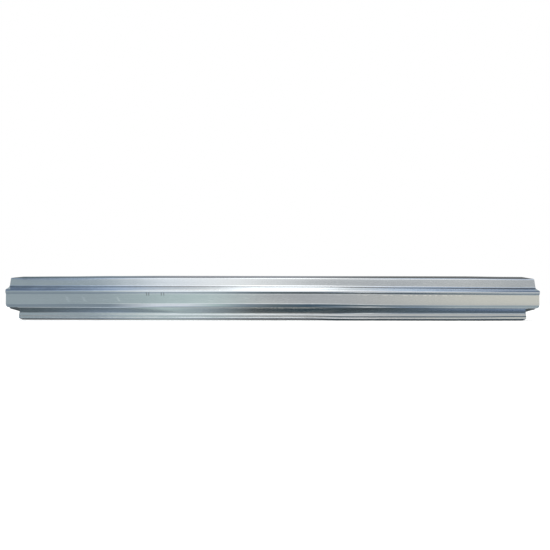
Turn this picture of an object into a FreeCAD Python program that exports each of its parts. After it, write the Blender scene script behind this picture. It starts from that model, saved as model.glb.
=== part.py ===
# Outer rocker panel (door sill), pressed from one galvanised sheet.
# Row frame in millimetres: +X along the sill, -Y outboard (the face that is seen), +Z up.
# Origin: mid-length, on the underside of the lower return lip, midway across that lip's flat.
import math
import os

import FreeCAD
import Part

Vector = FreeCAD.Vector

# Sheet
panel_length = 1780.0
sheet_gauge = 1.2

# Section, from the rear edge of the upper lip to the rear edge of the lower lip.
# Every size runs between the sharp corners that the outer face would have without its bend radii.
upper_lip_depth = 23.0
upper_flange_height = 36.6
upper_flange_lean = 3.0
shoulder_reach = 51.9
shoulder_drop = 11.3
brow_setback = 13.4
brow_drop = 13.4
face_height = 33.3
facet_setback = 4.0
facet_height = 10.5
undercut_setback = 34.5
undercut_drop = 19.0
lower_flange_height = 12.7
joggle_setback = 2.5
joggle_height = 3.0
lower_rim_height = 11.4
lower_lip_depth = 23.5

# Bend radii, each on the inside of its bend
upper_roll_radius = 11.0
shoulder_root_radius = 4.0
nose_radius = 5.3
brow_root_radius = 2.0
face_foot_radius = 7.0
facet_radius = 5.0
undercut_root_radius = 5.0
joggle_radius = 1.5
lower_roll_radius = 5.0

# Ends of the panel as seen from the front, with setbacks measured from the end of the main face
upper_corner_run = 40.0
upper_corner_drop = 8.0
upper_end_taper = 4.0
lower_flange_end_setback = 34.5
lower_end_flare = 3.5
lower_corner_run = 11.0
lower_corner_drop = 6.0
nose_corner_radius = 9.0
rim_corner_radius = 2.0

# Tab at each end of the undercut, cut free of the bends beside it and folded up into the channel
end_tab_fold_setback = 38.0
end_tab_fold_radius = 3.0
end_tab_angle = 18.0
end_tab_length = 35.0
end_tab_corner_radius = 4.0
end_tab_relief = 1.5

# Each leg of the section: how far it goes outboard, how far it drops, and the radius of the bend after it.
undercut_leg = (-undercut_setback, undercut_drop, undercut_root_radius)
section_legs = [
    (upper_lip_depth, 0.0, upper_roll_radius),
    (upper_flange_lean, upper_flange_height, shoulder_root_radius),
    (shoulder_reach, shoulder_drop, nose_radius),
    (-brow_setback, brow_drop, brow_root_radius),
    (0.0, face_height, face_foot_radius),
    (-facet_setback, facet_height, facet_radius),
    undercut_leg,
    (0.0, lower_flange_height, joggle_radius),
    (-joggle_setback, joggle_height, joggle_radius),
    (0.0, lower_rim_height, lower_roll_radius),
    (-lower_lip_depth, 0.0, 0.0),
]

overall_height = sum(drop for _, drop, _ in section_legs)
half_length = panel_length / 2
lower_lip_flat = lower_lip_depth - lower_roll_radius - sheet_gauge

# The fold of the end tab: its turn, and where the bend leaves the flat of the undercut
end_tab_turn = math.radians(end_tab_angle)
end_tab_outer_radius = end_tab_fold_radius + sheet_gauge
end_tab_start = half_length - end_tab_fold_setback - end_tab_outer_radius * math.tan(end_tab_turn / 2)


def outer_corners():
    """Sharp corners of the outer face, from the upper lip's rear edge to the lower lip's rear edge."""
    lower_rear_edge = lower_lip_flat / 2
    reach = sum(outboard for outboard, _, _ in section_legs)
    corner = Vector(0, lower_rear_edge + reach, overall_height)
    corners = [corner]
    for outboard, drop, _ in section_legs:
        corner = corner + Vector(0, -outboard, -drop)
        corners.append(corner)
    return corners


def side_normal(direction):
    """Unit vector across a leg, pointing to the hidden side of the sheet."""
    return Vector(0, -direction.z, direction.y)


def bent_path(depth_in_sheet):
    """Edges of the section's line at one depth below the outer face, with an arc after each straight leg."""
    corners = outer_corners()
    inside_radii = [radius for _, _, radius in section_legs[:-1]]
    directions = [(b - a).normalize() for a, b in zip(corners, corners[1:])]
    normals = [side_normal(direction) for direction in directions]
    start = corners[0] + normals[0] * depth_in_sheet
    edges = []
    for i, inside_radius in enumerate(inside_radii):
        before, after = directions[i], directions[i + 1]
        turn = before.getAngle(after)
        bisector = normals[i] + normals[i + 1]
        corner = corners[i + 1] + bisector * (depth_in_sheet / (1 + normals[i] * normals[i + 1]))
        towards_hidden_side = after * normals[i] > 0
        if towards_hidden_side:
            radius = inside_radius + sheet_gauge - depth_in_sheet
        else:
            radius = inside_radius + depth_in_sheet
        tangent = radius * math.tan(turn / 2)
        arc_start = corner - before * tangent
        arc_end = corner + after * tangent
        to_centre = bisector.normalize() * (1 if towards_hidden_side else -1)
        arc_middle = corner + to_centre * (radius / math.cos(turn / 2) - radius)
        edges.append(Part.makeLine(start, arc_start))
        edges.append(Part.Arc(arc_start, arc_middle, arc_end).toShape())
        start = arc_end
    end = corners[-1] + normals[-1] * depth_in_sheet
    edges.append(Part.makeLine(start, end))
    return edges


def sheet_section():
    """Closed cross-section of the bent sheet, in the plane X = 0."""
    outer = Part.Wire(bent_path(0.0))
    hidden = Part.Wire(bent_path(sheet_gauge))
    upper_edge = Part.makeLine(outer.OrderedVertexes[0].Point, hidden.OrderedVertexes[0].Point)
    lower_edge = Part.makeLine(outer.OrderedVertexes[-1].Point, hidden.OrderedVertexes[-1].Point)
    outline = Part.__sortEdges__(outer.Edges + hidden.Edges + [upper_edge, lower_edge])
    return Part.Face(Part.Wire(outline))


def formed_sheet():
    """The bent sheet at its full length, before its ends are trimmed."""
    section = sheet_section()
    section.translate(Vector(-half_length, 0, 0))
    return section.extrude(Vector(panel_length, 0, 0))


def undercut_flat():
    """Front and rear ends of the flat of the undercut on the outer face, in the plane X = 0."""
    edges_per_leg = 2
    flat = bent_path(0.0)[section_legs.index(undercut_leg) * edges_per_leg]
    return flat.Vertexes[0].Point, flat.Vertexes[1].Point


def right_end_points():
    """Outline of the right end seen from the front, from above the top edge to below the bottom edge."""
    flat_front, flat_rear = undercut_flat()
    curl_end = flat_front + side_normal((flat_rear - flat_front).normalize()) * sheet_gauge
    upper_end = half_length - upper_end_taper
    lower_end = half_length - lower_flange_end_setback
    lower_corner = lower_end + lower_end_flare
    return [
        Vector(upper_end - 2 * upper_corner_run, 0, overall_height + upper_corner_drop),
        Vector(upper_end, 0, overall_height - upper_corner_drop),
        Vector(half_length, 0, overall_height - upper_flange_height),
        Vector(half_length, 0, curl_end.z),
        Vector(end_tab_start, 0, curl_end.z),
        Vector(end_tab_start, 0, flat_rear.z),
        Vector(lower_end, 0, flat_rear.z),
        Vector(lower_corner, 0, lower_corner_drop),
        Vector(lower_corner - 2 * lower_corner_run, 0, -lower_corner_drop),
    ]


def end_trim():
    """Block with the front outline of the finished panel, both ends alike."""
    right = right_end_points()
    left = [Vector(-point.x, 0, point.z) for point in reversed(right)]
    outline = right + left + right[:1]
    block = Part.Face(Part.makePolygon(outline))
    front = min(corner.y for corner in outer_corners()) - sheet_gauge
    rear = max(corner.y for corner in outer_corners()) + sheet_gauge
    block.translate(Vector(0, front, 0))
    block = block.extrude(Vector(0, rear - front, 0))
    upper_corner, nose_corner, lower_corner = right[1], right[3], right[7]
    block = round_corner_pair(block, upper_corner, rim_corner_radius)
    block = round_corner_pair(block, nose_corner, nose_corner_radius)
    return round_corner_pair(block, lower_corner, rim_corner_radius)


def round_corner_pair(block, point, radius):
    """Rounds the two edges that run front to back through a point of the outline and its mirror image."""
    tolerance = 1e-3
    found = []
    for edge in block.Edges:
        offsets = [Vector(abs(vertex.X) - point.x, 0, vertex.Z - point.z) for vertex in edge.Vertexes]
        if all(offset.Length < tolerance for offset in offsets):
            found.append(edge)
    return block.makeFillet(radius, found)


def end_tab():
    """Right-hand tab: the flat of the undercut carried on past its fold, clear of the bends on both sides."""
    flat_front, flat_rear = undercut_flat()
    rearward = (flat_rear - flat_front).normalize()
    inward = side_normal(rearward)
    outward = Vector(1, 0, 0)
    along_tab = outward * math.cos(end_tab_turn) + inward * math.sin(end_tab_turn)
    bend_centre = flat_front + rearward * end_tab_relief + outward * end_tab_start + inward * end_tab_outer_radius

    def on_bend(turn, radius):
        return bend_centre + outward * (radius * math.sin(turn)) - inward * (radius * math.cos(turn))

    rows = []
    for radius in (end_tab_outer_radius, end_tab_fold_radius):
        bend_start, bend_middle, bend_end = [on_bend(end_tab_turn * share, radius) for share in (0, 0.5, 1)]
        root, tip = bend_start - outward * sheet_gauge, bend_end + along_tab * end_tab_length
        arc = Part.Arc(bend_start, bend_middle, bend_end).toShape()
        rows.append([Part.makeLine(root, bend_start), arc, Part.makeLine(bend_end, tip)])
    outer, hidden = rows
    root_edge = Part.makeLine(outer[0].Vertexes[0].Point, hidden[0].Vertexes[0].Point)
    tip_edge = Part.makeLine(outer[-1].Vertexes[1].Point, hidden[-1].Vertexes[1].Point)
    section = Part.Face(Part.Wire(Part.__sortEdges__(outer + hidden + [root_edge, tip_edge])))
    tab_width = (flat_rear - flat_front).Length - 2 * end_tab_relief
    tab = section.extrude(rearward * tab_width)
    tip_line = tip_edge.Vertexes[0].Point * along_tab
    tip_corners = [
        edge
        for edge in tab.Edges
        if abs(edge.Length - sheet_gauge) < 1e-3 and abs(edge.CenterOfMass * along_tab - tip_line) < 1e-3
    ]
    return tab.makeFillet(end_tab_corner_radius, tip_corners)


def rocker_panel():
    """The finished panel: the formed sheet cut to its outline, with its two end tabs."""
    right_tab = end_tab()
    left_tab = right_tab.mirror(Vector(0, 0, 0), Vector(1, 0, 0))
    trimmed = formed_sheet().common(end_trim())
    return trimmed.fuse([right_tab, left_tab]).removeSplitter()


def main():
    os.makedirs("parts", exist_ok=True)
    panel = rocker_panel().Solids[0]
    print("valid", panel.isValid(), "volume", round(panel.Volume, 1), "faces", len(panel.Faces))
    print("box", panel.BoundBox)
    panel.exportStep("parts/rocker_panel.step")


main()
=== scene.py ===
# Outer rocker panel in bare galvanised sheet, seen level from the front on white.
import math
import bmesh
import bpy
from mathutils import Matrix, Vector


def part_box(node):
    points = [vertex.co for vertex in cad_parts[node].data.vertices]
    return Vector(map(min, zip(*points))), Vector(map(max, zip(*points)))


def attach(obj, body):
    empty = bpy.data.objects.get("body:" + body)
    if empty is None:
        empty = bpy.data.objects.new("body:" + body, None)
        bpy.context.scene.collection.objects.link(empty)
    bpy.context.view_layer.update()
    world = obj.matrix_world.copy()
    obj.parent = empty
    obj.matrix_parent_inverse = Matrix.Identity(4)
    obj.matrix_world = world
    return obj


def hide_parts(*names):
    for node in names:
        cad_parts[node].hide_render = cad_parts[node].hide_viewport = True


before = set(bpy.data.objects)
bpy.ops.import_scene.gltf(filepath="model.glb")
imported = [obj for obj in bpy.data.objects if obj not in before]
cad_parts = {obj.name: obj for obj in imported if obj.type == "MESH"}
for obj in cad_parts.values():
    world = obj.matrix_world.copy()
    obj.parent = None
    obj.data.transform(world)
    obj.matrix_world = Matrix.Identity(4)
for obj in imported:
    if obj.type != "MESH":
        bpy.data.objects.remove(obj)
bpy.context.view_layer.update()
panelLow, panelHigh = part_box("rocker_panel")

# What the pressing is made from, in metres. The section's legs run from the rear edge of the
# upper lip to the rear edge of the lower lip. Each has its reach outboard, its drop, the inside
# radius of the bend after it, and the number of strips in that bend.
pressing = {
    "gauge": 0.0012,
    "legs": {
        "upperLip": (0.0230, 0.0, 0.0110, 12),
        "upperFlange": (0.0030, 0.0366, 0.0058, 8),
        "shoulder": (0.0519, 0.0113, 0.0053, 14),
        "brow": (-0.0134, 0.0134, 0.0020, 4),
        "mainFace": (0.0, 0.0333, 0.0040, 4),
        "facet": (-0.0040, 0.0105, 0.0050, 5),
        "undercut": (-0.0345, 0.0190, 0.0062, 8),
        "lowerFlange": (0.0, 0.0127, 0.0015, 4),
        "joggle": (-0.0025, 0.0030, 0.0015, 4),
        "lowerRim": (0.0, 0.0114, 0.0050, 8),
        "lowerLip": (-0.0235, 0.0, 0.0, 0),
    },
    "longestRow": 0.0115,
    "longestColumn": 0.0075,
    "upperCornerRun": 0.040,
    "upperCornerDrop": 0.008,
    "upperTaper": 0.004,
    "noseCorner": 0.009,
    "flangeSetback": 0.0345,
    "flangeFlare": 0.0035,
    "lowerCornerRun": 0.011,
    "lowerCornerDrop": 0.006,
    "rimCorner": 0.002,
    "tabFoldSetback": 0.038,
    "tabFoldRadius": 0.003,
    "tabAngle": 18.0,
    "tabLength": 0.035,
    "tabCorner": 0.004,
    "tabRelief": 0.0015,
    "endFrom": 0.80,  # x past which the trims may cut
    "cornerSteps": 4,
    "noseSteps": 7,
    "tabFoldSteps": 4,
    "tabSteps": 5,
    "tabCornerSteps": 6,
    "sharpAngle": 35,
}

# How far the sheet is from flat, in metres: long waves all over, short ones on the left of the
# shoulder, where the press has left ripples.
# A pair of values is where they set in and where they are full.
unevenness = {
    "waveLength": 0.11,
    "waveDepth": 0.00022,
    "waveFoot": (0.005, 0.012),  # heights, so that both lips stay true
    "waveTop": (0.146, 0.139),
    "rippleLength": 0.035,
    "rippleDepth": 0.00070,
    "rippleFoot": (0.086, 0.092),
    "rippleTop": (0.122, 0.114),
    "rippleRight": (-0.45, -0.70),
}

# How far the pressing hangs below true, in millimetres, or stands above it where less than 0.
# Each height has points along the panel: the ends of the top edge droop, the shoulder's root,
# the nose and the face's foot twist down to the right, the undercut's root sags near the middle,
# and the lower rim stands higher on the left and at its right end.
hang = {
    "deepest": 5.2,
    "heights": [
        (0.021, [(-0.88, -2.2), (0.10, -2.2), (0.26, 0), (0.62, 0), (0.86, -1.2)]),
        (0.027, [(-0.50, 0), (-0.25, 1.8), (0.15, 1.8), (0.35, 0)]),
        (0.034, [(0, 0)]),
        (0.046, [(-0.83, 2.0), (-0.50, 2.0), (-0.35, 0), (0.15, 0), (0.62, 3.2), (0.88, 3.6)]),
        (0.056, [(-0.83, 2.0), (-0.60, 0), (0.13, 0), (0.45, 3.2), (0.68, 4.2), (0.88, 4.4)]),
        (0.092, [(-0.83, 2.0), (-0.30, 0), (0.15, 0), (0.62, 2.0), (0.86, 3.0)]),
        (0.118, [(-0.83, 1.0), (-0.30, 0), (0.15, 0), (0.45, 3.0), (0.86, 5.2)]),
        (
            0.141,
            [(-0.885, 0.6), (-0.845, 3.4), (-0.70, 2.5), (-0.54, 1.0), (-0.36, 0), (0.64, 0.2)]
            + [(0.80, 1.7), (0.86, 2.0), (0.885, 1.2)],
        ),
    ],
}

xAxis = Vector((1, 0, 0))
nearly = 1e-5


def deselectEverything():
    for thing in bpy.context.selected_objects:
        thing.select_set(False)
    bpy.context.view_layer.objects.active = None


def pick(piece, kind, wanted):
    bpy.ops.mesh.select_mode(type=kind)
    bpy.ops.mesh.select_all(action="DESELECT")
    mesh = bmesh.from_edit_mesh(piece.data)
    parts = {"VERT": mesh.verts, "EDGE": mesh.edges, "FACE": mesh.faces}[kind]
    chosen = [part for part in parts if wanted(part)]
    for part in chosen:
        part.select_set(True)
    mesh.select_flush_mode()
    bmesh.update_edit_mesh(piece.data)
    return len(chosen)


def cut(piece, wanted, point, normal, clear=True):
    if pick(piece, "FACE", wanted):
        bpy.ops.mesh.bisect(plane_co=point, plane_no=normal, clear_outer=clear, threshold=nearly)


def roundOff(piece, wanted, corner, normals, radius, steps):
    first, last = [normal.normalized() for normal in normals]
    centre = corner - (first + last) * (radius / (1 + first.dot(last)))
    for step in range(1, steps):
        normal = first.slerp(last, step / steps)
        cut(piece, wanted, centre + normal * radius, normal)


def halveLong(piece, longest, runsAlong):
    def tooLong(edge):
        start, end = [vertex.co for vertex in edge.verts]
        alongX = abs(end.x - start.x) > nearly
        return alongX == runsAlong and (end - start).length > longest

    while pick(piece, "EDGE", tooLong):
        bpy.ops.mesh.subdivide(number_cuts=1)


def applyModifier(piece, kind, **settings):
    modifier = piece.modifiers.new(kind.lower(), kind)
    for name, value in settings.items():
        setattr(modifier, name, value)
    bpy.ops.object.modifier_apply(modifier=modifier.name)


def hiddenSide(direction):
    return Vector((0, -direction.z, direction.y))


# Each leg of the section as the press makes it: its direction, the flat that is left between
# its bends, and the signed turn, outer-face radius and strips of the bend after it.
def planFolds():
    legs = list(pressing["legs"].values())
    directions = [Vector((0, -outboard, -drop)).normalized() for outboard, drop, _, _ in legs]
    folds = []
    tangentBefore = 0
    for i, (outboard, drop, inside, strips) in enumerate(legs):
        turn, radius = 0, 0
        if strips:
            foldsIn = directions[i + 1].dot(hiddenSide(directions[i])) > 0
            turn = directions[i].angle(directions[i + 1]) * (1 if foldsIn else -1)
            radius = inside + pressing["gauge"] if foldsIn else inside
        tangent = abs(radius * math.tan(turn / 2))
        flat = math.hypot(outboard, drop) - tangentBefore - tangent
        folds.append((directions[i], flat, turn, radius, strips))
        tangentBefore = tangent
    return folds


# The outer face of the right-hand half: the upper lip's flat is there already, and every other
# flat is pulled on and every bend is rolled about its own centre. Gives both ends of each flat.
def foldSection(piece):
    point = Vector((0, panelHigh.y, panelHigh.z))
    flats = {}
    for name, (along, flat, turn, radius, strips) in zip(pressing["legs"], planFolds()):
        if flats:
            bpy.ops.mesh.extrude_region_move(TRANSFORM_OT_translate={"value": along * flat})
        else:
            pick(piece, "EDGE", lambda edge: all(v.co.y < panelHigh.y - nearly for v in edge.verts))
        flats[name] = (point, point + along * flat)
        point = point + along * flat
        if strips:
            toCentre = hiddenSide(along) * math.copysign(radius, turn)
            centre = point + toCentre
            bpy.ops.mesh.spin(steps=strips, angle=-turn, center=centre, axis=xAxis)
            point = centre - Matrix.Rotation(turn, 3, xAxis) @ toCentre
    return flats


# The right-hand end: sheared corners above and below, the rounded corner under the nose, the
# notch beside the lower flange and the tab that is folded up into the channel.
def shearEnd(piece, flats):
    top, end = panelHigh.z, panelHigh.x
    taper, drop = pressing["upperTaper"], pressing["upperCornerDrop"]
    flangeHeight = pressing["legs"]["upperFlange"][1]
    beyond = 1  # farther than any part of the panel
    belowRoot, aboveFold, noseHeight = 0.005, 0.004, 0.03

    def nearEnd(low, high, fromX=pressing["endFrom"]):
        def wanted(face):
            centre = face.calc_center_median()
            return centre.x > fromX and low < centre.z < high

        return wanted

    upperCorner = Vector((end - taper, 0, top - drop))
    cornerNormal = Vector((drop, 0, pressing["upperCornerRun"]))
    taperNormal = Vector((flangeHeight - drop, 0, taper))
    upper = nearEnd(top - flangeHeight - belowRoot, top + beyond)
    cut(piece, upper, upperCorner, cornerNormal)
    cut(piece, upper, upperCorner, taperNormal)
    rimCorner, cornerSteps = pressing["rimCorner"], pressing["cornerSteps"]
    roundOff(piece, upper, upperCorner, (cornerNormal, taperNormal), rimCorner, cornerSteps)

    flatFront, flatRear = flats["undercut"]
    rearward = (flatRear - flatFront).normalized()
    inward = hiddenSide(rearward)
    curlEnd = flatFront.z + inward.z * pressing["gauge"]
    outerRadius = pressing["tabFoldRadius"] + pressing["gauge"]
    turn = math.radians(pressing["tabAngle"])
    foldStart = end - pressing["tabFoldSetback"] - outerRadius * math.tan(turn / 2)
    relief = pressing["tabRelief"]
    undercutBand = nearEnd(flatRear.z, flatFront.z + aboveFold, fromX=-beyond)
    cut(piece, undercutBand, Vector((0, 0, curlEnd)), Vector((0, 0, 1)), clear=False)
    for edge in (flatFront + rearward * relief, flatRear - rearward * relief):
        cut(piece, undercutBand, edge, rearward, clear=False)
    notch = nearEnd(flatRear.z, curlEnd)
    cut(piece, notch, xAxis * foldStart, xAxis, clear=False)
    pick(piece, "FACE", nearEnd(flatRear.z, curlEnd, foldStart))
    bpy.ops.mesh.delete(type="FACE")

    underNose = nearEnd(curlEnd, flatFront.z + noseHeight, foldStart)
    noseCorner = Vector((end, 0, curlEnd))
    normals = (xAxis, Vector((0, 0, -1)))
    roundOff(piece, underNose, noseCorner, normals, pressing["noseCorner"], pressing["noseSteps"])

    flangeEnd = end - pressing["flangeSetback"]
    run, rise = pressing["lowerCornerRun"], pressing["lowerCornerDrop"]
    lowerCorner = Vector((flangeEnd + pressing["flangeFlare"], 0, rise))
    flareNormal = Vector((flatRear.z - rise, 0, pressing["flangeFlare"]))
    footNormal = Vector((rise, 0, -run))
    lower = nearEnd(-beyond, flatRear.z)
    cut(piece, lower, lowerCorner, flareNormal)
    cut(piece, lower, lowerCorner, footNormal)
    roundOff(piece, lower, lowerCorner, (flareNormal, footNormal), rimCorner, cornerSteps)

    def tabRoot(edge):
        for vertex in edge.verts:
            along = (vertex.co - flatFront).dot(rearward)
            inFlat = relief - nearly < along < (flatRear - flatFront).length - relief + nearly
            if not inFlat or abs(vertex.co.x - foldStart) > nearly:
                return False
        return True

    pick(piece, "EDGE", tabRoot)
    axisPoint = flatFront + xAxis * foldStart + inward * outerRadius
    steps = pressing["tabFoldSteps"]
    bpy.ops.mesh.spin(steps=steps, angle=-turn, center=axisPoint, axis=-rearward)
    alongTab = xAxis * math.cos(turn) + inward * math.sin(turn)
    for _ in range(pressing["tabSteps"]):
        move = alongTab * pressing["tabLength"] / pressing["tabSteps"]
        bpy.ops.mesh.extrude_region_move(TRANSFORM_OT_translate={"value": move})
    foldEnd = axisPoint - inward * outerRadius * math.cos(turn) + xAxis * outerRadius * math.sin(turn)
    tip = foldEnd.dot(alongTab) + pressing["tabLength"]
    corners = [relief, (flatRear - flatFront).length - relief]

    def tipCorner(vertex):
        along = (vertex.co - flatFront).dot(rearward)
        atEdge = min(abs(along - corner) for corner in corners) < nearly
        return atEdge and abs(vertex.co.dot(alongTab) - tip) < nearly and vertex.co.x > foldStart

    pick(piece, "VERT", tipCorner)
    segments = pressing["tabCornerSteps"]
    bpy.ops.mesh.bevel(affect="VERTICES", offset=pressing["tabCorner"], segments=segments)


def weighVertices(piece, name, weight):
    group = piece.vertex_groups.new(name=name)
    for vertex in piece.data.vertices:
        group.add([vertex.index], weight(vertex.co), "REPLACE")
    return group.name


def fade(value, start, end):
    share = min(1, max(0, (value - start) / (end - start)))
    return share * share * (3 - 2 * share)


def between(value, points):
    if value <= points[0][0]:
        return points[0][1]
    for (start, first), (end, last) in zip(points, points[1:]):
        if value < end:
            return first + (last - first) * fade(value, start, end)
    return points[-1][1]


def makeUneven(piece):
    def long(place):
        return fade(place.z, *unevenness["waveFoot"]) * fade(place.z, *unevenness["waveTop"])

    def short(place):
        onShoulder = fade(place.z, *unevenness["rippleFoot"]) * fade(place.z, *unevenness["rippleTop"])
        return onShoulder * fade(place.x, *unevenness["rippleRight"])

    for name, weight in (("wave", long), ("ripple", short)):
        texture = bpy.data.textures.new(name, "CLOUDS")
        texture.noise_scale = unevenness[name + "Length"]
        texture.noise_depth = 1
        applyModifier(
            piece,
            "DISPLACE",
            texture=texture,
            texture_coords="GLOBAL",
            mid_level=1.0,  # only ever inwards
            strength=unevenness[name + "Depth"],
            vertex_group=weighVertices(piece, name, weight),
        )
        bpy.data.textures.remove(texture)


def makeHang(piece):
    def share(place):
        below = [(height, between(place.x, points)) for height, points in hang["heights"]]
        return between(place.z, below) / hang["deepest"]

    sunk = weighVertices(piece, "sunk", lambda place: max(0, share(place)))
    lifted = weighVertices(piece, "lifted", lambda place: max(0, -share(place)))
    for group, way in ((sunk, -1), (lifted, 1)):
        applyModifier(
            piece,
            "DISPLACE",
            direction="Z",
            mid_level=0.0,
            strength=way * hang["deepest"] / 1000,
            vertex_group=group,
        )


def makePanel():
    half = panelHigh.x - 2 * nearly  # keeps the ends inside the CAD box
    lipFlat = planFolds()[0][1]
    centre = (half / 2, panelHigh.y - lipFlat / 2, panelHigh.z)
    deselectEverything()
    bpy.ops.mesh.primitive_plane_add(size=1, location=centre)
    piece = bpy.context.active_object
    piece.scale = (half, lipFlat, 1)
    piece.name = "pressedPanel"
    piece.data.name = piece.name
    bpy.ops.object.transform_apply(location=True, rotation=True, scale=True)
    bpy.ops.object.mode_set(mode="EDIT")
    flats = foldSection(piece)
    print("section folded")
    halveLong(piece, pressing["longestRow"], False)
    halveLong(piece, pressing["longestColumn"], True)
    shearEnd(piece, flats)
    print("end sheared")
    bpy.ops.object.mode_set(mode="OBJECT")
    applyModifier(piece, "MIRROR", use_axis=(True, False, False), merge_threshold=nearly)
    bpy.ops.object.mode_set(mode="EDIT")
    bpy.ops.mesh.select_all(action="SELECT")
    bpy.ops.mesh.remove_doubles(threshold=nearly)
    bpy.ops.mesh.normals_make_consistent(inside=False)
    bpy.ops.object.mode_set(mode="OBJECT")
    makeUneven(piece)
    makeHang(piece)
    applyModifier(
        piece,
        "SOLIDIFY",
        thickness=pressing["gauge"],
        offset=-1,
        use_even_offset=True,
        use_quality_normals=True,
    )
    bpy.ops.object.shade_smooth_by_angle(angle=math.radians(pressing["sharpAngle"]))
    applyModifier(piece, "WEIGHTED_NORMAL", keep_sharp=True)
    print("panel made:", len(piece.data.polygons), "faces")
    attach(piece, "root")
    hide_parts("rocker_panel")
    return piece


panel = makePanel()


# A socket in a shader tree. Sums on it add Math nodes, and plain numbers stay numbers.
class Signal:
    def __init__(self, wires, socket):
        self.wires = wires
        self.socket = socket

    def maths(self, operation, *terms):
        return self.wires.node("ShaderNodeMath", {"operation": operation}, dict(enumerate(terms)))

    def __add__(self, other):
        return self.maths("ADD", self, other)

    def __sub__(self, other):
        return self.maths("SUBTRACT", self, other)

    def __rsub__(self, other):
        return self.maths("SUBTRACT", other, self)

    def __mul__(self, other):
        return self.maths("MULTIPLY", self, other)

    def __truediv__(self, other):
        return self.maths("DIVIDE", self, other)

    def __neg__(self):
        return self.maths("MULTIPLY", self, -1)

    __radd__ = __add__
    __rmul__ = __mul__

    def size(self):
        return self.maths("ABSOLUTE", self)

    # Rises smoothly from 0 to 1 between two values, or falls where the first is the larger
    def step(self, start, end):
        if start > end:
            return 1 - self.step(end, start)
        settings = {"interpolation_type": "SMOOTHSTEP"}
        return self.wires.node("ShaderNodeMapRange", settings, {0: self, 1: start, 2: end}, 0)


class Wires:
    def __init__(self, holder):
        holder.use_nodes = True
        self.tree = holder.node_tree
        self.tree.nodes.clear()

    def node(self, kind, settings=None, sockets=None, output=0):
        made = self.tree.nodes.new(kind)
        for name, value in (settings or {}).items():
            if name == "stops":
                self.fillRamp(made.color_ramp, value)
            else:
                setattr(made, name, value)
        for name, value in (sockets or {}).items():
            if isinstance(value, Signal):
                self.tree.links.new(value.socket, made.inputs[name])
            else:
                made.inputs[name].default_value = value
        return Signal(self, made.outputs[output]) if made.outputs else None

    def fillRamp(self, ramp, stops):
        for place, _ in stops[1:-1]:
            ramp.elements.new(place)
        for element, (place, colour) in zip(ramp.elements, stops):
            element.position = place
            element.color = colour

    def place(self):
        whole = self.node("ShaderNodeTexCoord", output="Object")
        parts = self.node("ShaderNodeSeparateXYZ", sockets={0: whole}).socket.node
        return whole, *[Signal(self, socket) for socket in parts.outputs]

    def mix(self, share, first, second):
        return self.node("ShaderNodeMix", {"data_type": "RGBA"}, {0: share, 6: first, 7: second}, 2)

    # 1 for rays from the camera and rays that the metal or glass sends on, otherwise 0
    def seenRay(self):
        rays = self.node("ShaderNodeLightPath").socket.node.outputs
        camera, glossy, passing = [
            Signal(self, rays[name]) for name in ("Is Camera Ray", "Is Glossy Ray", "Is Transmission Ray")
        ]
        return camera + glossy + passing


# The bare zinc coat, with its marks and a painted shade along its bottom roll. Places are along the panel
# and up it, in metres.
# A pair of values is where a mark's edge starts and where the mark is full.
zinc = {
    "colour": (0.66, 0.69, 0.71),
    "paleMark": (0.93, 0.94, 0.94, 1),
    "roughness": 0.10,
    "grain": {"scale": (3, 420, 420), "detail": 4, "share": 0.07},
    "streaks": {"scale": (1.5, 70, 70), "detail": 2, "share": 0.05},
    "mottle": {"scale": (22, 22, 30), "detail": 3, "share": 0.03},
    "spangle": {"scale": 240, "share": 0.03},
    "scuffs": {"scale": (40, 700, 500), "detail": 2, "edge": (0.66, 0.74), "share": 0.10},
    "outside": (-0.040, -0.050),  # y, so that ticks and smears stay off the flanges
    "dashes": {
        "scale": (60, 1, 1),
        "detail": 1,
        "edge": (0.46, 0.58),
        "left": (0.08, 0.40),
        "right": (0.67, 0.60),
        "height": 0.0872,
        "fall": 0.0046,  # from the middle to 1 m to the right
        "halfWidth": 0.0016,
        "strength": 0.8,
    },
    "ticks": {
        "at": (-0.421, -0.414, -0.372, -0.364),
        "halfWidth": (0.0030, 0.0012),
        "foot": (0.082, 0.085),
        "top": (0.096, 0.093),
        "strength": 0.32,
    },
    "smears": {
        "at": (-0.629, -0.684, -0.515),
        "height": 0.07,  # where those places are
        "lean": 0.6,
        "halfWidth": (0.006, 0.001),
        "foot": (0.059, 0.067),
        "top": (0.083, 0.075),
        "strength": 0.22,
    },
    # painted shade: the base colour darkens below 7 mm, along the bottom roll, for the dark line that
    # shade and dark reflections give under the panel
    "paintedFootShade": {"edge": (0.007, 0.003), "strength": 0.5},
    "rougher": {"noise": 0.03, "scuffs": 0.08, "smears": 0.3},
}


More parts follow.
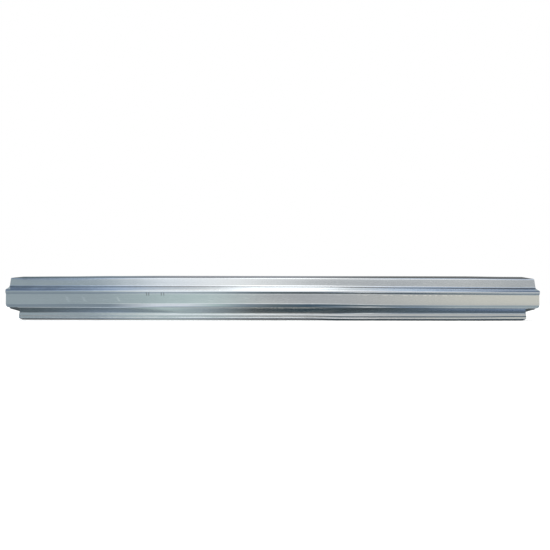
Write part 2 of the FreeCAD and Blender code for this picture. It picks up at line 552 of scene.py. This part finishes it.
def paintZinc():
    steel = bpy.data.materials.new("galvanisedSteel")
    wires = Wires(steel)
    whole, x, y, z = wires.place()

    def noise(layer):
        stretched = wires.node("ShaderNodeMapping", {}, {"Vector": whole, "Scale": layer["scale"]})
        sockets = {"Vector": stretched, "Scale": 1, "Detail": layer["detail"]}
        return wires.node("ShaderNodeTexNoise", {}, sockets)

    cells = {"Vector": whole, "Scale": zinc["spangle"]["scale"]}
    layers = {name: noise(zinc[name]) for name in ("grain", "streaks", "mottle")}
    layers["spangle"] = wires.node("ShaderNodeTexVoronoi", {"feature": "F1"}, cells, 1)
    scuffs = noise(zinc["scuffs"]).step(*zinc["scuffs"]["edge"])
    outside = y.step(*zinc["outside"])

    dashes = zinc["dashes"]
    offLine = (z - (dashes["height"] - x * dashes["fall"])).size()
    line = offLine.step(dashes["halfWidth"], dashes["halfWidth"] / 3)
    along = x.step(*dashes["left"]) * x.step(*dashes["right"])
    pale = line * along * noise(dashes).step(*dashes["edge"]) * dashes["strength"]

    def marked(marks, across, centres):
        near = 0
        for centre in centres:
            near = (across - centre).size().step(*marks["halfWidth"]) + near
        return near * z.step(*marks["foot"]) * z.step(*marks["top"]) * outside * marks["strength"]

    ticks = zinc["ticks"]
    dark = marked(ticks, x, ticks["at"])
    smears = zinc["smears"]
    lean = smears["lean"]
    smear = marked(smears, x + z * lean, [place + smears["height"] * lean for place in smears["at"]])

    # Painted shade along the bottom roll, not a mark on the coat
    footShade = z.step(*zinc["paintedFootShade"]["edge"]) * zinc["paintedFootShade"]["strength"]
    tone = 1 - sum(zinc[name]["share"] for name in layers) / 2
    for name, layer in layers.items():
        tone = layer * zinc[name]["share"] + tone
    tone = (tone + scuffs * zinc["scuffs"]["share"]) * (1 - dark) * (1 - footShade)
    base = wires.node("ShaderNodeVectorMath", {"operation": "SCALE"}, {0: zinc["colour"], "Scale": tone})
    base = wires.mix(pale + smear, base, zinc["paleMark"])
    rougher = zinc["rougher"]
    roughness = (layers["grain"] + layers["mottle"]) * rougher["noise"] + zinc["roughness"]
    roughness = roughness + scuffs * rougher["scuffs"] + smear * rougher["smears"]
    sockets = {"Base Color": base, "Metallic": 1, "Roughness": roughness}
    skin = wires.node("ShaderNodeBsdfPrincipled", {}, sockets)
    wires.node("ShaderNodeOutputMaterial", {}, {"Surface": skin})
    panel.data.materials.clear()
    panel.data.materials.append(steel)
    print("zinc on")


# What the metal reflects. Colours are linear and bright enough that the zinc gives them back
# as the eye sees them.
light = {
    "brightWhite": (2.5, 2.5, 2.5),
    "white": (1.55, 1.58, 1.62),
    "softWhite": (1.15, 1.14, 1.12),
    "mist": (0.88, 0.92, 0.98),
    "paleSky": (0.65, 0.80, 1.02),
    "mistBlue": (0.40, 0.51, 0.70),
    "deepSky": (0.22, 0.29, 0.42),
    "nightBlue": (0.12, 0.17, 0.26),
    "cream": (1.02, 0.99, 0.90),
    "warmGrey": (0.90, 0.86, 0.74),
    "paleGrey": (0.62, 0.62, 0.61),
    "grey": (0.51, 0.52, 0.53),
    "dimGrey": (0.42, 0.43, 0.45),
    "coolGrey": (0.40, 0.47, 0.50),
    "paleLeaf": (0.82, 0.93, 0.90),
    "paleGreen": (0.56, 0.68, 0.67),
    "steel": (0.28, 0.34, 0.39),
    "umber": (0.21, 0.21, 0.205),
    "slate": (0.16, 0.20, 0.22),
    "charcoal": (0.10, 0.115, 0.12),
    "darkBlue": (0.08, 0.13, 0.18),
    "ink": (0.03, 0.06, 0.08),
}

# The light tent: a half pipe along the panel. Each band has the height in degrees above the
# horizon where it ends, how softly it ends, and its colours by their place from left to right.
tent = {
    "radius": 3.6,
    "sides": 96,
    "reach": 2.6,
    "bands": {
        "level": (6, 2, {
            -1.9: "coolGrey", -1.35: "coolGrey", -0.75: "paleGreen", -0.5: "paleGreen",
            0: "dimGrey", 0.4: "grey", 1.6: "warmGrey",
        }),
        "onFlange": (14.5, 1.5, {
            -1.9: "coolGrey", -1.3: "coolGrey", -0.8: "mist", -0.3: "softWhite", 0.45: "grey",
            1.0: "grey", 1.5: "paleGrey", 1.9: "grey",
        }),
        "whiteLine": (31, 3, {
            -1.9: "steel", -1.45: "mistBlue", -1.2: "mist", -0.9: "white", 0.5: "softWhite",
            0.8: "white", 1.4: "white", 1.9: "mist",
        }),
        "onShoulder": (38, 1.5, {
            -1.9: "nightBlue", -1.45: "deepSky", -1.2: "paleSky", -0.8: "mist", -0.45: "softWhite",
            -0.15: "brightWhite", 0.28: "brightWhite", 0.62: "softWhite", 1.0: "paleSky",
            1.3: "mistBlue", 1.9: "mistBlue",
        }),
        "overShoulder": (50, 3, {
            -1.9: "mistBlue", -1.6: "paleSky", -1.2: "paleSky", -0.8: "mist", -0.45: "softWhite",
            -0.15: "brightWhite", 0.28: "brightWhite", 0.62: "softWhite", 1.0: "paleSky",
            1.3: "mistBlue", 1.9: "mistBlue",
        }),
        "onNose": (75, 5, {
            -1.9: "nightBlue", -1.5: "deepSky", -1.25: "mistBlue", -0.85: "mist", -0.5: "softWhite",
            -0.2: "brightWhite", 0.35: "brightWhite", 0.6: "softWhite", 1.05: "paleSky",
            1.4: "mistBlue", 1.75: "nightBlue",
        }),
        "overhead": (140, 8, {
            -1.9: "nightBlue", -1.5: "nightBlue", -1.2: "mistBlue", -0.85: "mist", -0.45: "softWhite",
            -0.2: "white", 0.3: "white", 0.6: "mist", 1.1: "paleSky", 1.5: "mistBlue", 1.8: "nightBlue",
        }),
        "behind": (180, 10, {-1.9: "coolGrey", 0: "mist", 1.9: "coolGrey"}),
    },
}

# The board on the floor in front of the panel: a glowing sheet seen only in the metal, which paints the
# floor's reflection with its light bands and the floor's shade under the nose with its dark ones. Bands
# run from the front of the board to behind the panel, and end at the y that is given.
board = {
    "front": -3.5,
    "back": 0.06,
    "reach": 2.2,
    "height": 0.0003,
    "bands": {
        "far": (-0.55, 0.05, {
            -1.0: "coolGrey", -0.8: "coolGrey", -0.6: "paleGreen", -0.38: "paleLeaf", -0.05: "cream",
            0.2: "paleGrey", 0.45: "grey", 1.2: "grey",
        }),
        "onRim": (-0.24, 0.03, {
            -0.85: "coolGrey", -0.7: "coolGrey", -0.5: "softWhite", -0.35: "white", 0: "white",
            0.2: "softWhite", 0.42: "paleGrey", 0.85: "grey",
        }),
        "underNose": (-0.155, 0.02, {
            -0.9: "coolGrey", -0.72: "coolGrey", -0.5: "paleLeaf", -0.2: "mist", 0.1: "white",
            0.32: "white", 0.5: "softWhite", 0.85: "paleGrey",
        }),
        "onFacet": (-0.085, 0.004, {
            -0.86: "steel", -0.56: "steel", -0.4: "mist", -0.3: "mist", -0.2: "paleGreen",
            -0.1: "steel", 0: "slate", 0.12: "darkBlue", 0.3: "slate", 0.5: "steel", 0.65: "coolGrey",
            0.9: "coolGrey",
        }),
        "lightLine": (-0.070, 0.002, {
            -0.86: "coolGrey", -0.7: "coolGrey", -0.52: "paleSky", -0.36: "paleSky", -0.2: "coolGrey",
            0: "slate", 0.13: "slate", 0.22: "paleSky", 0.32: "brightWhite", 0.42: "paleSky",
            0.5: "mistBlue", 0.6: "softWhite", 0.87: "softWhite",
        }),
        "onBrow": (-0.048, 0.003, {
            -0.86: "steel", -0.6: "steel", -0.38: "coolGrey", -0.2: "coolGrey", -0.05: "slate",
            0.1: "charcoal", 0.35: "charcoal", 0.65: "slate", 0.87: "steel",
        }),
        "lowLine": (-0.041, 0.002, {
            -0.86: "white", -0.72: "brightWhite", -0.56: "brightWhite", -0.44: "softWhite",
            -0.3: "mistBlue", 0.12: "deepSky", 0.2: "paleSky", 0.32: "white", 0.45: "mistBlue",
            0.6: "paleSky", 0.87: "paleSky",
        }),
        "onRoot": (-0.031, 0.002, {
            -0.8: "slate", -0.54: "mistBlue", -0.36: "slate", -0.05: "darkBlue", 0.12: "ink",
            0.3: "slate", 0.8: "deepSky",
        }),
        "rearUndercut": (-0.0200, 0.001, {
            -0.8: "slate", -0.6: "steel", -0.45: "coolGrey", -0.3: "coolGrey", -0.04: "charcoal",
            0.12: "charcoal", 0.45: "slate", 0.8: "slate",
        }),
        "onJoggle": (-0.0182, 0.0007, {
            -0.8: "paleGrey", -0.6: "coolGrey", -0.45: "paleLeaf", -0.1: "cream", 0.12: "cream",
            0.22: "slate", 0.3: "ink", 0.8: "ink",
        }),
        "onUndercut": (0.06, 0.01, {
            -0.86: "charcoal", -0.58: "slate", -0.36: "paleGreen", -0.24: "coolGrey", -0.06: "charcoal",
            0.12: "ink", 0.3: "charcoal", 0.8: "charcoal",
        }),
    },
    "darkPast": (0.864, 0.872),  # painted shade beside the lower flange's ends, which the end tabs reflect
    "darkBehind": (-0.049, -0.041),
}

# A strip that hangs close above the upper lip and darkens its roll
header = {
    "front": -0.0260,
    "back": -0.001,
    "height": 0.1535,
    "reach": 1.2,
    "bands": {
        "whole": (0, 0, {
            -0.85: "slate", -0.55: "steel", -0.3: "dimGrey", 0.05: "dimGrey", 0.4: "umber", 0.85: "umber",
        }),
    },
}


def bandColour(wires, height, across, holder):
    reach = holder["reach"]
    colour = None
    lastEnd, lastBlur = 0, 0
    for end, blur, stops in holder["bands"].values():
        ramp = [((place + reach) / (2 * reach), (*light[name], 1)) for place, name in stops.items()]
        here = wires.node("ShaderNodeValToRGB", {"stops": ramp}, {0: across / (2 * reach) + 0.5})
        if colour:
            here = wires.mix(height.step(lastEnd - lastBlur, lastEnd + lastBlur), colour, here)
        colour = here
        lastEnd, lastBlur = end, blur
    return colour


def makeGlow(wires, colour):
    glow = wires.node("ShaderNodeEmission", {}, {"Color": colour})
    wires.node("ShaderNodeOutputMaterial", {}, {"Surface": glow})


def showOnlyInMetal(thing):
    for kind in ("camera", "diffuse", "transmission", "volume_scatter", "shadow"):
        setattr(thing, "visible_" + kind, False)


def makeTent():
    deselectEverything()
    bpy.ops.mesh.primitive_cylinder_add(
        vertices=tent["sides"],
        radius=tent["radius"],
        depth=2 * tent["reach"],
        end_fill_type="NOTHING",
        rotation=(0, math.pi / 2, 0),
    )
    piece = bpy.context.active_object
    piece.name = "lightTent"
    bpy.ops.object.transform_apply(location=True, rotation=True, scale=True)
    bpy.ops.object.mode_set(mode="EDIT")
    cut(piece, lambda face: True, Vector((0, 0, 0)), Vector((0, 0, -1)))
    bpy.ops.object.mode_set(mode="OBJECT")
    material = bpy.data.materials.new("lightTent")
    wires = Wires(material)
    _, x, y, z = wires.place()
    degrees = z.maths("ARCTAN2", z, -y) * (180 / math.pi)
    makeGlow(wires, bandColour(wires, degrees, x, tent))
    piece.data.materials.append(material)
    showOnlyInMetal(piece)
    print("tent up")


def makeSheetLight(name, sheet):
    deselectEverything()
    middle = (sheet["front"] + sheet["back"]) / 2
    bpy.ops.mesh.primitive_plane_add(size=1, location=(0, middle, sheet["height"]))
    piece = bpy.context.active_object
    piece.scale = (2 * sheet["reach"], sheet["back"] - sheet["front"], 1)
    piece.name = name
    bpy.ops.object.transform_apply(location=True, rotation=True, scale=True)
    material = bpy.data.materials.new(name)
    piece.data.materials.append(material)
    showOnlyInMetal(piece)
    return Wires(material)


def makeBoard():
    wires = makeSheetLight("paintedFloorReflection", board)
    _, x, y, _ = wires.place()
    colour = bandColour(wires, y, x, board)
    # Painted shade: the board turns charcoal beside the ends of the lower flange and behind its front, so
    # that the end tabs reflect dark
    beside = x.size().step(*board["darkPast"])
    behind = y.step(*board["darkBehind"])
    makeGlow(wires, wires.mix(beside * behind, colour, (*light["charcoal"], 1)))
    print("board laid")


def makeHeader():
    wires = makeSheetLight("headerStrip", header)
    _, x, y, _ = wires.place()
    makeGlow(wires, bandColour(wires, y, x, header))
    print("header hung")


# Floor, sky and the one lamp, whose shadow falls behind the panel
studio = {
    "floorSize": 14,
    "floorColour": (0.93, 0.93, 0.93, 1),
    "floorLift": 0.25,  # keeps the floor as white as the sky
    "skyStrength": 0.5,
    "lampStrength": 2.2,
    "lampPlace": (0, -2, 2.5),
    "lampTilt": 42,
    "lampSoftness": 40,
}


def makeFloor():
    deselectEverything()
    bpy.ops.mesh.primitive_plane_add(size=studio["floorSize"])
    floor = bpy.context.active_object
    floor.name = "floor"
    material = bpy.data.materials.new("paleFloor")
    wires = Wires(material)
    plain = wires.node("ShaderNodeBsdfDiffuse", {}, {"Color": studio["floorColour"]})
    strength = wires.seenRay() * studio["floorLift"]
    lift = wires.node("ShaderNodeEmission", {}, {"Color": (1, 1, 1, 1), "Strength": strength})
    both = wires.node("ShaderNodeAddShader", {}, {0: plain, 1: lift})
    wires.node("ShaderNodeOutputMaterial", {}, {"Surface": both})
    floor.data.materials.append(material)
    print("floor laid")


def makeSky():
    world = bpy.data.worlds.new("studio")
    bpy.context.scene.world = world
    wires = Wires(world)
    low = studio["skyStrength"]
    strength = wires.seenRay() * (1 - low) + low
    sky = wires.node("ShaderNodeBackground", {}, {"Color": (1, 1, 1, 1), "Strength": strength})
    wires.node("ShaderNodeOutputWorld", {}, {"Surface": sky})
    print("sky up")


def makeLamp():
    deselectEverything()
    tilt = (math.radians(studio["lampTilt"]), 0, 0)
    bpy.ops.object.light_add(type="SUN", location=studio["lampPlace"], rotation=tilt)
    lamp = bpy.context.active_object
    lamp.data.energy = studio["lampStrength"]
    lamp.data.angle = math.radians(studio["lampSoftness"])
    lamp.visible_glossy = False
    print("lamp on")


paintZinc()
makeTent()
makeBoard()
makeHeader()
makeFloor()
makeSky()
makeLamp()

# Camera, level with the middle of the panel
camera = {
    "place": (-0.001, -2.84, 0.075),
    "lens": 54.6,
    "sensorWidth": 36,
    "yaw": 0.166,  # degrees to the right
    "pitch": 1.605,  # degrees up
    "roll": 0.085,
}


def makeCamera():
    bpy.ops.object.camera_add(location=camera["place"])
    eye = bpy.context.active_object
    yaw, pitch, roll = [math.radians(camera[name]) for name in ("yaw", "pitch", "roll")]
    ahead = Vector((math.sin(yaw) * math.cos(pitch), math.cos(yaw) * math.cos(pitch), math.sin(pitch)))
    level = ahead.cross(Vector((0, 0, 1))).normalized()
    upright = level.cross(ahead)
    across = level * math.cos(roll) + upright * math.sin(roll)
    up = upright * math.cos(roll) - level * math.sin(roll)
    eye.rotation_euler = Matrix((across, up, -ahead)).transposed().to_euler()
    eye.data.lens = camera["lens"]
    eye.data.sensor_width = camera["sensorWidth"]
    bpy.context.scene.camera = eye
    print("camera placed")


makeCamera()

bpy.context.scene.view_settings.view_transform = "Standard"
